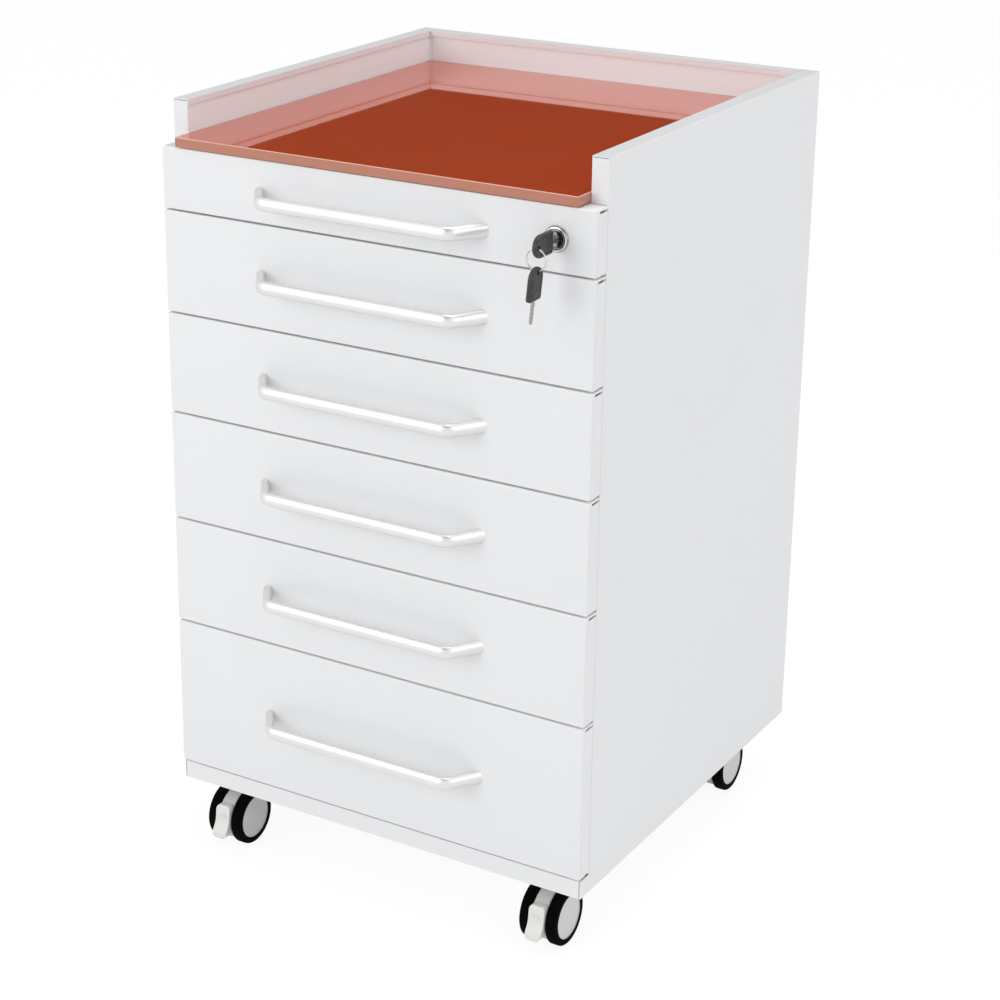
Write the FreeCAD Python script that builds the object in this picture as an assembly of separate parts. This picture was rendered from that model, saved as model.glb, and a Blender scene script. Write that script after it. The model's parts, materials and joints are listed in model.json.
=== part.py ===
import FreeCAD, Part
import math
import os

# Mobile drawer cabinet: a double-skinned sheet-steel carcass on four twin-wheel castors,
# six drawers on three-member ball runners, a raised gallery round a glass top and a cam
# lock with its two keys. Millimetres; +Z up, fronts towards -Y, origin on the floor under
# the middle of the bounding box.

# ---- overall sizes -------------------------------------------------------------------
cabinet_width = 500.0
cabinet_depth = 506.5        # drawer faces to the rear skin
cabinet_height = 841.0       # floor to the rim
castor_height = 77.0         # floor to the underside of the carcass
gallery_height = 49.0        # rim above the top edge of the drawer fronts
upper_front_heights = (60.5, 107.0, 107.0, 117.0, 117.0)   # top drawer down, but the lowest
front_gap = 3.0
plinth_height = 19.9         # strip below the last drawer
plinth_gap = 1.6
plinth_recess = 3.0          # strip behind the drawer faces
plinth_end_gap = 0.8
plinth_return = 14.0

# ---- sheet metal ---------------------------------------------------------------------
sheet = 1.0
bend_radius = 0.9            # outside radius of the folds
wall = 18.0                  # double skin and gallery rim
rim_lip = 6.0
seam = 0.6                   # between folded sheets that butt
liner_flange = 13.0
panel_flange = 12.0
liner_slip = 0.2             # gallery liner behind the rim lip
shell_seam = 1.0             # carcass behind the drawer fronts
deck_rise = 5.0              # deck above the top edge of the fronts
strike_rail_height = 21.0    # rail below the deck that the lock's cam catches
upstand_top_gap = 1.5
corner_strip = 3.0           # folded corner tab of the gallery liner
corner_slit = 0.5
bearer_width = 62.0
bearer_height = 15.0
bearer_foot = 10.0

through = 1.0                # cutters past the face that they open
tiny = 1e-6                  # places closer than this are the same

# ---- glass ---------------------------------------------------------------------------
glass_thickness = 10.0
glass_overhang = 3.0         # past the drawer faces
glass_side_gap = 1.7
glass_rear_gap = 0.8
glass_arris = 0.8

# ---- drawers -------------------------------------------------------------------------
front_depth = 20.0
front_sheet = 1.2
front_return = 12.0
relief_drop = 2.5            # corner relief below the top flange
relief_width = 1.5
box_below_top = 18.5         # box rim under the top edge of its front
box_above_bottom = 7.0
box_length = 440.0
box_sheet = 1.0
box_hem = 6.0
hem_start = 20.0             # hem begins behind the front wall
runner_space = 13.0          # side wall to drawer box
bottom_rib_width = 8.0
bottom_rib_height = 1.5
bottom_rib_margin = 50.0

# ---- ball runners --------------------------------------------------------------------
runner_height = 30.0
runner_sheet = 1.2
runner_lift = 18.0           # runner centre above the bottom of the box
runner_setback = 2.0         # runner front behind the drawer front
outer_length = 450.0
middle_length = 430.0
inner_length = 435.0
member_gap = 0.5             # web to web
ball_track = 3.0             # room for the balls between two members
outer_reach = 9.0
middle_reach = 9.5
inner_reach = 9.4
track_lip = 1.4

# ---- handles -------------------------------------------------------------------------
handle_centres = 256.0
handle_radius = 6.8
handle_foot_radius = 8.0
handle_projection = 32.0     # drawer face to the bar's axis
handle_splay = 21.5          # each leg leans in by this much
handle_bend = 14.0

# ---- lock and keys -------------------------------------------------------------------
lock_side = 42.0             # lock axis from the right edge of the front
lock_drop = 28.5             # lock axis below the top edge of the front
flange_radius = 12.8
flange_height = 3.0
flange_bevel = 1.6
barrel_radius = 9.0
barrel_hole_gap = 0.25
plug_radius = 6.0
plug_fit = 0.05
plug_face_radius = 8.2
plug_face_height = 1.6
plug_face_gap = 0.3
nut_width = 22.0
nut_height = 3.0
keyway_width = 2.4
keyway_height = 7.6
keyway_depth = 20.0
cam_thickness = 2.0
cam_length = 24.0
cam_width = 12.0
cam_hub_radius = 8.0
cam_gap = 0.8                # cam behind the strike rail
tang_width = 7.0
screw_radius = 4.0
screw_height = 2.0
key_length = 33.0            # plastic head
key_height = 22.0
key_thickness = 5.0
key_corner = 3.0
key_dish = 0.6
key_gap = 7.0                # head in front of the lock's flange
key_blade_length = 23.0
key_blade_height = 7.0
key_blade_thickness = 2.0
key_blade_root = 4.0         # blade moulded into the head
key_hole_radius = 2.4
key_hole_inset = 5.0
ring_radius = 10.3
wire_radius = 0.7
ring_drop = 1.1              # wire from the middle of the hole it hangs in

# ---- castors -------------------------------------------------------------------------
castor_side = 50.0           # swivel axis from the side skin
castor_end = 54.0            # swivel axis from the drawer faces and from the rear
castor_trail = 19.0
wheel_radius = 31.5
wheel_inner = 9.4            # wheel face from the castor's middle
wheel_width = 12.0
tyre_edge = 2.0
hub_radius = 24.1
hub_dome = 1.2
hub_rim = 3.5
hub_pocket_floor = 5.0
hub_boss_radius = 7.5
axle_radius = 4.0
axle_half = 18.0
axle_fit = 0.05
hood_half = 9.0
hood_radius = 29.0
hood_floor_gap = 10.0
hood_edge = 1.2
neck_half = 14.0
neck_overlap = 1.0           # neck into the swivel head
head_radius = 17.0
head_height = 8.5
race_gap = 0.3
race_radius = 17.0
race_height = 2.0
castor_plate = 58.0
castor_plate_thickness = 2.5
castor_plate_corner = 6.0
castor_bolt_spacing = 42.0
castor_bolt_hole = 3.2
kingpin_radius = 4.0
kingpin_fit = 0.05
kingpin_length = 14.0
pedal_half = 9.0
pedal_inner_gap = 1.4        # pedal outside the hood
pedal_face = ((29.8, 21.0), (32.4, 12.0), (33.4, 4.0), (36.2, -2.5), (39.8, -8.5), (40.4, -12.5))
pedal_toe = ((39.3, -15.4), (36.6, -15.6))   # forward and up from the axle, as the face
pedal_heel = (33.4, -11.0)
pedal_top_corner = 4.5
pedal_toe_corner = 7.5
pedal_pivot_forward = 17.0   # from the axle
pedal_pivot_up = 14.5
pedal_lift = 20.0            # travel from braked to free
pedal_boss_radius = 5.0
pedal_arm_drop = 20.0        # arm below the level line when braked
pedal_arm_length = 17.0
pedal_arm_half = 3.0         # half its height
pedal_arm_half_width = 3.6
pedal_clearance = 0.6        # slot round the arm and boss
pedal_pin_radius = 1.5
pedal_pin_fit = 0.08

# ---- places worked out from the sizes --------------------------------------------------
half_width = cabinet_width / 2
key_forward = flange_height + key_gap + key_length       # tip of the key head
ring_forward = key_forward - key_hole_inset              # hinge of the key ring
face_y = (key_forward - cabinet_depth) / 2               # drawer faces
rear_y = face_y + cabinet_depth
shell_y = face_y + front_depth + shell_seam              # front of the carcass
toe_y = face_y + plinth_recess
base_z = castor_height
toe_z = base_z + plinth_height
rim_z = cabinet_height
front_top_z = rim_z - gallery_height
lowest_front_z = toe_z + plinth_gap
lowest_front_height = (front_top_z - lowest_front_z - sum(upper_front_heights)
                       - front_gap * len(upper_front_heights))
front_heights = upper_front_heights + (lowest_front_height,)
deck_z = front_top_z + deck_rise                         # top of the deck
inside_x = half_width - wall                             # inner face of the side walls
upstand_x = inside_x + sheet + liner_slip                # inner face of the gallery liner
upstand_y = rear_y - wall + sheet + liner_slip
box_half = inside_x - runner_space
back_of_front_y = face_y + front_depth
lock_x = half_width - lock_side
lock_z = front_top_z - lock_drop


# ---- small helpers -------------------------------------------------------------------
def block(x0, x1, y0, y1, z0, z1):
    return Part.makeBox(x1 - x0, y1 - y0, z1 - z0, FreeCAD.Vector(x0, y0, z0))


def rod(radius, start, end):
    axis = FreeCAD.Vector(*end) - FreeCAD.Vector(*start)
    return Part.makeCylinder(radius, axis.Length, FreeCAD.Vector(*start), axis)


def joined(pieces):
    solid = pieces[0].multiFuse(pieces[1:]) if len(pieces) > 1 else pieces[0]
    return solid.removeSplitter()


def mirrored(shape):
    return shape.mirror(FreeCAD.Vector(0, 0, 0), FreeCAD.Vector(1, 0, 0))


def outline(points):
    vectors = [FreeCAD.Vector(*point) for point in points]
    return Part.Face(Part.makePolygon(vectors + vectors[:1]))


def turned(points, centre, axis):
    """Solid of revolution of a closed outline about an axis through centre."""
    return outline(points).revolve(FreeCAD.Vector(*centre), FreeCAD.Vector(*axis), 360)


def edges_where(shape, test):
    return [edge for edge in shape.Edges if test(edge)]


def along(edge, direction):
    """True for a straight edge that runs along x, y or z."""
    if not isinstance(edge.Curve, Part.Line):
        return False
    return near(abs(getattr(edge.Curve.Direction, direction)), 1)


def near(value, target):
    return abs(value - target) < tiny


def save(name, *shapes):
    shape = shapes[0] if len(shapes) == 1 else Part.makeCompound(list(shapes))
    shape.exportStep("parts/" + name + ".step")


# ---- carcass -------------------------------------------------------------------------
def side_panel():
    """Right-hand outer skin with its rim, lip, front, rear and bottom flanges."""
    skin = outline([(half_width - sheet, toe_y, base_z), (half_width - sheet, rear_y, base_z),
                    (half_width - sheet, rear_y, rim_z), (half_width - sheet, shell_y, rim_z),
                    (half_width - sheet, shell_y, toe_z), (half_width - sheet, toe_y, toe_z)])
    skin = skin.extrude(FreeCAD.Vector(sheet, 0, 0))
    rim = block(inside_x, half_width, shell_y, rear_y, rim_z - sheet, rim_z)
    lip = block(inside_x, inside_x + sheet, shell_y, rear_y - wall, rim_z - rim_lip, rim_z)
    flange_top = rim_z - sheet - seam
    front = block(inside_x, half_width, shell_y, shell_y + sheet, toe_z, flange_top)
    rear = block(inside_x, half_width, rear_y - sheet, rear_y, base_z, flange_top)
    foot = block(inside_x, half_width, toe_y + sheet + seam, rear_y, base_z, base_z + sheet)
    lip_clear = block(inside_x, inside_x + sheet, shell_y, shell_y + sheet, rim_z - rim_lip, flange_top)
    panel = joined([skin, rim, lip.cut(lip_clear), front, rear, foot])
    folds = edges_where(panel, lambda edge: on_outer_fold(edge))
    return panel.makeFillet(bend_radius, folds)


def on_outer_fold(edge):
    """The long outside edges of a side panel that are folds, not cut edges."""
    centre = edge.BoundBox.Center
    outside = near(centre.x, half_width) and edge.Length > 10 * wall
    rim_fold = outside and along(edge, "y") and near(centre.z, rim_z)
    front_fold = outside and along(edge, "z") and near(centre.y, shell_y)
    rear_fold = outside and along(edge, "z") and near(centre.y, rear_y)
    return rim_fold or front_fold or rear_fold


def side_liner():
    """Right-hand inner skin that carries the runners, a pan open towards the outer skin."""
    y0, y1 = shell_y + sheet, rear_y - sheet
    z0, z1 = base_z + 2 * sheet, deck_z - sheet
    web = block(inside_x, inside_x + sheet, y0, y1, z0, z1)
    reach = inside_x + liner_flange
    front = block(inside_x, reach, y0, y0 + sheet, z0, z1)
    rear = block(inside_x, reach, y1 - sheet, y1, z0, z1)
    bottom = block(inside_x, reach, y0, y1, z0, z0 + sheet)
    top = block(inside_x, reach, y0, y1, z1 - sheet, z1)
    return joined([web, front, rear, bottom, top])


def back_panel():
    """Outer back skin; its rim butts between the side panels' rims."""
    half = inside_x - seam
    skin = block(-half, half, rear_y - sheet, rear_y, base_z, rim_z)
    rim = block(-half, half, rear_y - wall, rear_y, rim_z - sheet, rim_z)
    lip = block(-half, half, rear_y - wall, rear_y - wall + sheet, rim_z - rim_lip, rim_z)
    front_y = rear_y - panel_flange
    z0, z1 = base_z + 2 * sheet, rim_z - sheet
    flanges = [block(x, x + sheet, front_y, rear_y, z0, z1) for x in (-half, half - sheet)]
    foot = block(-half, half, front_y, rear_y, z0, z0 + sheet)
    panel = joined([skin, rim, lip, foot] + flanges)
    fold = edges_where(panel, lambda edge: along(edge, "x") and near(edge.BoundBox.Center.z, rim_z)
                       and near(edge.BoundBox.Center.y, rear_y))
    return panel.makeFillet(bend_radius, fold)


def top_deck():
    """Deck tray: plate and gallery liner walls on three sides."""
    y0, y1 = shell_y + sheet, upstand_y + sheet
    side = upstand_x + sheet
    top = rim_z - upstand_top_gap
    plate = block(-side, side, y0, y1, deck_z - sheet, deck_z)
    walls = [block(x, x + sheet, y0, y1, deck_z - sheet, top) for x in (-side, side - sheet)]
    rear = block(-side, side, upstand_y, y1, deck_z - sheet, top)
    tray = joined([plate, rear] + walls)
    slit_x = upstand_x - corner_strip
    slits = [block(x, x + corner_slit, upstand_y, y1, deck_z, top)
             for x in (slit_x - corner_slit, -slit_x)]
    return tray.cut(Part.makeCompound(slits))


def strike_rail():
    """Strip on the front edge of the deck, between the side panels, that the cam catches."""
    half = inside_x - seam
    return block(-half, half, shell_y, shell_y + sheet, deck_z - strike_rail_height, deck_z)


def base_tray():
    """Base pan with the plinth strip in front."""
    half = half_width - sheet - plinth_end_gap
    z0 = base_z + sheet
    plate = block(-half, half, toe_y, rear_y - sheet, z0, z0 + sheet)
    strip = block(-half, half, toe_y, toe_y + sheet, base_z, toe_z)
    fold = block(-half, half, toe_y, toe_y + plinth_return, toe_z - sheet, toe_z)
    return joined([plate, strip, fold])


def bearer(centre_y):
    """Hat-section bearer across the base pan over a pair of castor plates."""
    half = inside_x - seam
    z0 = base_z + 2 * sheet
    y0, y1 = centre_y - bearer_width / 2, centre_y + bearer_width / 2
    z1 = z0 + bearer_height
    crown = block(-half, half, y0, y1, z1 - sheet, z1)
    webs = [block(-half, half, y, y + sheet, z0, z1) for y in (y0, y1 - sheet)]
    feet = [block(-half, half, y0 - bearer_foot, y0 + sheet, z0, z0 + sheet),
            block(-half, half, y1 - sheet, y1 + bearer_foot, z0, z0 + sheet)]
    return joined([crown] + webs + feet)


def glass_top():
    half = upstand_x - glass_side_gap
    glass = block(-half, half, face_y - glass_overhang, upstand_y - glass_rear_gap,
                  deck_z, deck_z + glass_thickness)
    return glass.makeChamfer(glass_arris, glass.Edges)


# ---- drawers -------------------------------------------------------------------------
def drawer_front(bottom_z, height):
    """Folded pan: face, four flanges, returns at the back and a relief at each top corner."""
    top_z = bottom_z + height
    pan = block(-half_width, half_width, face_y, back_of_front_y, bottom_z, top_z)
    outer_edges = edges_where(pan, lambda edge: near(edge.BoundBox.Center.y, face_y)
                              or (along(edge, "y") and edge.BoundBox.Center.z > bottom_z))
    pan = pan.makeFillet(bend_radius, outer_edges)
    cavity = block(-half_width + front_sheet, half_width - front_sheet,
                   face_y + front_sheet, back_of_front_y - front_sheet,
                   bottom_z + front_sheet, top_z - front_sheet)
    window = block(-half_width + front_return, half_width - front_return,
                   face_y + front_sheet, back_of_front_y + front_sheet,
                   bottom_z + front_return, top_z - front_return)
    relief_z = top_z - relief_drop - relief_width
    reliefs = [block(x, x + front_sheet, face_y + front_sheet, back_of_front_y,
                     relief_z, relief_z + relief_width)
               for x in (-half_width, half_width - front_sheet)]
    return pan.cut(Part.makeCompound([cavity, window] + reliefs).Solids)


def drawer_box(bottom_z, height):
    """Sheet box with ribs pressed in its floor and a hem along its side and rear rims."""
    y0, y1 = back_of_front_y, back_of_front_y + box_length
    top_z = bottom_z + height
    tray = block(-box_half, box_half, y0, y1, bottom_z, top_z)
    room = block(-box_half + box_sheet, box_half - box_sheet, y0 + box_sheet, y1 - box_sheet,
                 bottom_z + box_sheet, top_z + box_sheet)
    tray = tray.cut(room)
    hem_z = top_z - box_sheet
    hems = [block(x, x + box_hem, y0 + hem_start, y1, hem_z, top_z)
            for x in (-box_half, box_half - box_hem)]
    rear_hem = block(-box_half, box_half, y1 - box_hem, y1, hem_z, top_z)
    ribs = [floor_rib(y, bottom_z + box_sheet) for y in (y0 + bottom_rib_margin, y1 - bottom_rib_margin)]
    return joined([tray, rear_hem] + hems + ribs)


def floor_rib(centre_y, floor_z):
    """Shallow rounded rib across the floor of a box, standing on its upper face."""
    half = box_half - bottom_rib_margin
    y0, y1 = centre_y - bottom_rib_width / 2, centre_y + bottom_rib_width / 2
    crown = Part.Arc(FreeCAD.Vector(-half, y0, floor_z),
                     FreeCAD.Vector(-half, centre_y, floor_z + bottom_rib_height),
                     FreeCAD.Vector(-half, y1, floor_z)).toShape()
    base = Part.makeLine(FreeCAD.Vector(-half, y1, floor_z), FreeCAD.Vector(-half, y0, floor_z))
    return Part.Face(Part.Wire([crown, base])).extrude(FreeCAD.Vector(2 * half, 0, 0))


def channel(web_x, reach, half_height, y0, length, centre_z):
    """C-section runner member: web at web_x, flanges reaching towards reach."""
    inner_x = web_x + math.copysign(runner_sheet, reach)
    web = block(min(web_x, inner_x), max(web_x, inner_x), y0, y0 + length,
                centre_z - half_height, centre_z + half_height)
    x0, x1 = sorted((web_x, web_x + reach))
    flanges = [block(x0, x1, y0, y0 + length, z, z + runner_sheet)
               for z in (centre_z - half_height, centre_z + half_height - runner_sheet)]
    return joined([web] + flanges)


def outer_member(centre_z):
    """Cabinet member of the right-hand runner, with lips that close the ball tracks."""
    half_height = runner_height / 2
    y0 = back_of_front_y + runner_setback
    member = channel(inside_x, -outer_reach, half_height, y0, outer_length, centre_z)
    lip_x = inside_x - outer_reach
    lips = [block(lip_x, lip_x + runner_sheet, y0, y0 + outer_length, z, z + track_lip)
            for z in (centre_z - half_height + runner_sheet / 2,
                      centre_z + half_height - runner_sheet / 2 - track_lip)]
    return joined([member] + lips)


def middle_member(centre_z):
    half_height = runner_height / 2 - runner_sheet - ball_track
    web_x = inside_x - runner_sheet - member_gap
    y0 = back_of_front_y + runner_setback + sheet
    return channel(web_x, -middle_reach, half_height, y0, middle_length, centre_z)


def inner_member(centre_z):
    """Drawer member, fixed to the box; its flanges run inside the middle member."""
    half_height = runner_height / 2 - 2 * (runner_sheet + ball_track)
    y0 = back_of_front_y + runner_setback
    return channel(box_half, inner_reach, half_height, y0, inner_length, centre_z)


def handle(centre_z):
    """Bow handle: a straight bar, two bends and two legs that flare to their feet."""
    lean = math.atan2(handle_splay, handle_projection)
    turn = math.pi / 2 - lean                     # between a leg and the bar
    back_off = handle_bend * math.tan(turn / 2)   # tangent length of a bend
    foot_x = handle_centres / 2
    corner_x = foot_x - handle_splay
    bar_y = face_y - handle_projection
    bend_x = corner_x - back_off
    leg_x = corner_x + back_off * math.sin(lean)
    leg_y = bar_y + back_off * math.cos(lean)
    half_bar = rod(handle_radius, (0, bar_y, centre_z), (bend_x, bar_y, centre_z))
    section = Part.Face(Part.Wire(Part.makeCircle(
        handle_radius, FreeCAD.Vector(bend_x, bar_y, centre_z), FreeCAD.Vector(1, 0, 0))))
    bend = section.revolve(FreeCAD.Vector(bend_x, bar_y + handle_bend, centre_z),
                           FreeCAD.Vector(0, 0, 1), math.degrees(turn))
    leg_axis = FreeCAD.Vector(math.sin(lean), math.cos(lean), 0)
    leg_end = Part.Wire(Part.makeCircle(handle_radius, FreeCAD.Vector(leg_x, leg_y, centre_z), leg_axis))
    foot = Part.Wire(Part.makeCircle(handle_foot_radius, FreeCAD.Vector(foot_x, face_y, centre_z),
                                     FreeCAD.Vector(0, 1, 0)))
    leg = Part.makeLoft([leg_end, foot], True, True)
    half = [half_bar, bend, leg]
    return joined(half + [mirrored(piece) for piece in half])


# ---- lock ----------------------------------------------------------------------------
def at_lock(points):
    """Radius and depth pairs to an outline in the vertical plane through the lock axis."""
    return [(lock_x + radius, face_y + depth, lock_z) for radius, depth in points]


def about_lock(points):
    return turned(at_lock(points), (lock_x, face_y, lock_z), (0, 1, 0))


def lock_barrel():
    """Flanged barrel with a dished face, bored for the plug."""
    bore = plug_radius + plug_fit
    dish = plug_face_radius + plug_face_gap
    end = back_of_front_y - face_y + box_sheet + cam_gap / 2
    return about_lock([(bore, -plug_face_height), (dish, -plug_face_height), (dish, -flange_height),
                       (flange_radius - flange_bevel, -flange_height), (flange_radius, -flange_bevel),
                       (flange_radius, 0), (barrel_radius, 0), (barrel_radius, end), (bore, end)])


def lock_nut():
    """Hexagon nut behind the drawer's face sheet."""
    corner = nut_width / 2 / math.cos(math.pi / 6)
    y0 = face_y + front_sheet
    points = [(lock_x + corner * math.cos(math.radians(a)), y0, lock_z + corner * math.sin(math.radians(a)))
              for a in range(0, 360, 60)]
    blank = outline(points).extrude(FreeCAD.Vector(0, nut_height, 0))
    return blank.cut(rod(barrel_radius, (lock_x, y0 - through, lock_z),
                         (lock_x, y0 + nut_height + through, lock_z)))


def lock_plug():
    """Turning plug: face disc, shaft with its keyway, and a square tang for the cam."""
    rear = cam_front() - plug_fit
    tang = cam_front() + cam_thickness
    face = -plug_face_height - plug_face_gap
    front = face - plug_face_height + plug_face_gap
    plug = about_lock([(0, front), (plug_face_radius, front), (plug_face_radius, face),
                       (plug_radius, face), (plug_radius, rear), (0, rear)])
    half = tang_width / 2
    square = block(lock_x - half, lock_x + half, face_y + rear, face_y + tang,
                   lock_z - half, lock_z + half)
    keyway = block(lock_x - keyway_width / 2, lock_x + keyway_width / 2,
                   face_y + front, face_y + front + keyway_depth,
                   lock_z - keyway_height / 2, lock_z + keyway_height / 2)
    return joined([plug, square]).cut(keyway)


def cam_front():
    """Depth of the cam's front face behind the drawer face."""
    return shell_y + sheet + cam_gap - face_y


def lock_cam():
    """Flat cam on the plug's square tang, lying level when the drawer is free."""
    y0 = face_y + cam_front()
    half = cam_width / 2
    hub = rod(cam_hub_radius, (lock_x, y0, lock_z), (lock_x, y0 + cam_thickness, lock_z))
    arm = block(lock_x - cam_length + half, lock_x, y0, y0 + cam_thickness, lock_z - half, lock_z + half)
    tip = rod(half, (lock_x - cam_length + half, y0, lock_z),
              (lock_x - cam_length + half, y0 + cam_thickness, lock_z))
    square = tang_width / 2 + plug_fit
    hole = block(lock_x - square, lock_x + square, y0 - through, y0 + cam_thickness + through,
                 lock_z - square, lock_z + square)
    return joined([hub, arm, tip]).cut(hole)


def cam_screw():
    y0 = face_y + cam_front() + cam_thickness
    return rod(screw_radius, (lock_x, y0, lock_z), (lock_x, y0 + screw_height, lock_z))


def key_head():
    """Plastic key head pointing along +Z from its blade end, middle of that end at the origin."""
    half = key_height / 2
    shoulder = key_length - half
    side = [Part.makeLine(FreeCAD.Vector(0, -half, 0), FreeCAD.Vector(0, half, 0)),
            Part.makeLine(FreeCAD.Vector(0, half, 0), FreeCAD.Vector(0, half, shoulder)),
            Part.Arc(FreeCAD.Vector(0, half, shoulder), FreeCAD.Vector(0, 0, key_length),
                     FreeCAD.Vector(0, -half, shoulder)).toShape(),
            Part.makeLine(FreeCAD.Vector(0, -half, shoulder), FreeCAD.Vector(0, -half, 0))]
    face = Part.Face(Part.Wire(side))
    face.translate(FreeCAD.Vector(-key_thickness / 2, 0, 0))
    head = face.extrude(FreeCAD.Vector(key_thickness, 0, 0))
    corners = edges_where(head, lambda edge: along(edge, "x") and near(edge.BoundBox.Center.z, 0))
    head = head.makeFillet(key_corner, corners)
    hole_z = key_length - key_hole_inset
    hole = rod(key_hole_radius, (-key_thickness, 0, hole_z), (key_thickness, 0, hole_z))
    dish_half = half - key_corner
    dishes = [block(x, x + key_dish, -dish_half, dish_half, key_corner, shoulder - key_corner)
              for x in (-key_thickness / 2, key_thickness / 2 - key_dish)]
    return head.cut(Part.makeCompound([hole] + dishes).Solids)


def key_blade():
    """Flat blade below the head, rooted in it and chamfered at the tip."""
    half = key_blade_height / 2
    tip = half / 2
    points = [(0, -half, key_blade_root), (0, half, key_blade_root),
              (0, half, tip - key_blade_length), (0, tip, -key_blade_length),
              (0, -tip, -key_blade_length), (0, -half, tip - key_blade_length)]
    face = outline(points)
    face.translate(FreeCAD.Vector(-key_blade_thickness / 2, 0, 0))
    return face.extrude(FreeCAD.Vector(key_blade_thickness, 0, 0))


def whole_key():
    """Head and blade as two solids; the head is slotted for the blade's root."""
    blade = key_blade()
    return key_head().cut(blade), blade


def inserted_key():
    """Key in the plug: blade level, pointing to the rear, head out in front."""
    pieces = whole_key()
    for piece in pieces:
        piece.rotate(FreeCAD.Vector(0, 0, 0), FreeCAD.Vector(1, 0, 0), 90)
        piece.translate(FreeCAD.Vector(lock_x, face_y - flange_height - key_gap, lock_z))
    return pieces


def ring_hinge():
    """Middle of the inserted key's hole, where the ring hangs."""
    return FreeCAD.Vector(lock_x, face_y - ring_forward, lock_z)


def key_ring():
    hinge = ring_hinge()
    centre = hinge - FreeCAD.Vector(0, 0, ring_drop + ring_radius)
    return Part.makeTorus(ring_radius, wire_radius, centre, FreeCAD.Vector(0, 1, 0))


# ---- castors -------------------------------------------------------------------------
# A castor is modelled with its swivel axis on the Z axis and its wheels towards -Y.
def castor_plate_piece():
    """Top plate with its raceway and the kingpin that the castor turns on."""
    half = castor_plate / 2
    top = base_z + sheet
    bottom = top - castor_plate_thickness
    plate = block(-half, half, -half, half, bottom, top)
    plate = plate.makeFillet(castor_plate_corner, edges_where(plate, lambda edge: along(edge, "z")))
    bolt = castor_bolt_spacing / 2
    holes = [rod(castor_bolt_hole, (x, y, bottom - through), (x, y, top + through))
             for x in (-bolt, bolt) for y in (-bolt, bolt)]
    plate = plate.cut(Part.makeCompound(holes).Solids)
    race = rod(race_radius, (0, 0, bottom - race_height), (0, 0, bottom))
    kingpin = rod(kingpin_radius, (0, 0, bottom - race_height - kingpin_length), (0, 0, bottom))
    return joined([plate, race, kingpin])


def from_axle(forward, up, x=0):
    """Place in the castor's own frame from distances ahead of and above the axle."""
    return FreeCAD.Vector(x, -castor_trail - forward, wheel_radius + up)


def touch(forward, up, side):
    """Where the line from an outside point touches the hood's disc."""
    turn = math.atan2(up, forward) + side * math.acos(hood_radius / math.hypot(forward, up))
    return hood_radius * math.cos(turn), hood_radius * math.sin(turn)


def castor_hood():
    """Moulded hood between the wheels: a disc drawn up into a neck under the swivel head."""
    head_top = base_z + sheet - castor_plate_thickness - race_height - race_gap
    head_bottom = head_top - head_height
    neck_up = head_bottom + neck_overlap - wheel_radius
    front_corner = (neck_half - castor_trail, neck_up)
    rear_corner = (-neck_half - castor_trail, neck_up)
    front_touch, rear_touch = touch(*front_corner, -1), touch(*rear_corner, 1)
    corners = [from_axle(*point, -hood_half)
               for point in (rear_touch, rear_corner, front_corner, front_touch)]
    lowest = from_axle(0, -hood_radius, -hood_half)
    side = [Part.makeLine(*pair) for pair in zip(corners, corners[1:])]
    side.append(Part.Arc(corners[-1], lowest, corners[0]).toShape())
    shell = Part.Face(Part.Wire(side)).extrude(FreeCAD.Vector(2 * hood_half, 0, 0))
    rims = edges_where(shell, lambda edge: near(abs(edge.BoundBox.Center.x), hood_half))
    shell = shell.makeChamfer(hood_edge, rims)
    below = block(-2 * hood_half, 2 * hood_half, -castor_trail - wheel_radius,
                  -castor_trail + wheel_radius, 0, hood_floor_gap)
    head = rod(head_radius, (0, 0, head_bottom), (0, 0, head_top))
    lower_rim = edges_where(head, lambda edge: near(edge.BoundBox.Center.z, head_bottom))
    head = head.makeFillet(hood_edge, lower_rim)
    pin_end = base_z + sheet - castor_plate_thickness - race_height - kingpin_length
    bore = rod(kingpin_radius + kingpin_fit, (0, 0, pin_end - race_gap), (0, 0, head_top + through))
    axle_bore = rod(axle_radius, from_axle(0, 0, -hood_half - through), from_axle(0, 0, hood_half + through))
    return joined([shell, head]).cut([below, bore, axle_bore])


def castor_axle():
    return rod(axle_radius, from_axle(0, 0, -axle_half), from_axle(0, 0, axle_half))


def at_pivot(forward, up, lift, x=0):
    """Place by distances along and across the pedal's arm, with the pedal lifted by an angle."""
    turn = math.radians(lift - pedal_arm_drop)
    return from_axle(pedal_pivot_forward + forward * math.cos(turn) - up * math.sin(turn),
                     pedal_pivot_up + forward * math.sin(turn) + up * math.cos(turn), x)


def arm_bar(half_width, half_height, lift):
    """The pedal's arm, from its hinge forwards."""
    corners = [at_pivot(forward, up, lift, -half_width)
               for forward, up in ((0, -half_height), (pedal_arm_length, -half_height),
                                   (pedal_arm_length, half_height), (0, half_height))]
    return outline(corners).extrude(FreeCAD.Vector(2 * half_width, 0, 0))


def across_pivot(radius, half):
    return rod(radius, at_pivot(0, 0, 0, -half), at_pivot(0, 0, 0, half))


def braked_hood():
    """Front hood: opened behind the pedal for its arm's whole travel and bored for its pin."""
    half_width = pedal_arm_half_width + pedal_clearance
    half_height = pedal_arm_half + pedal_clearance
    travel = [arm_bar(half_width, half_height, lift) for lift in (0, pedal_lift / 2, pedal_lift)]
    room = across_pivot(pedal_boss_radius + pedal_clearance, half_width)
    bore = across_pivot(pedal_pin_radius + pedal_pin_fit, hood_half + through)
    return castor_hood().cut([room, bore] + travel)


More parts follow.
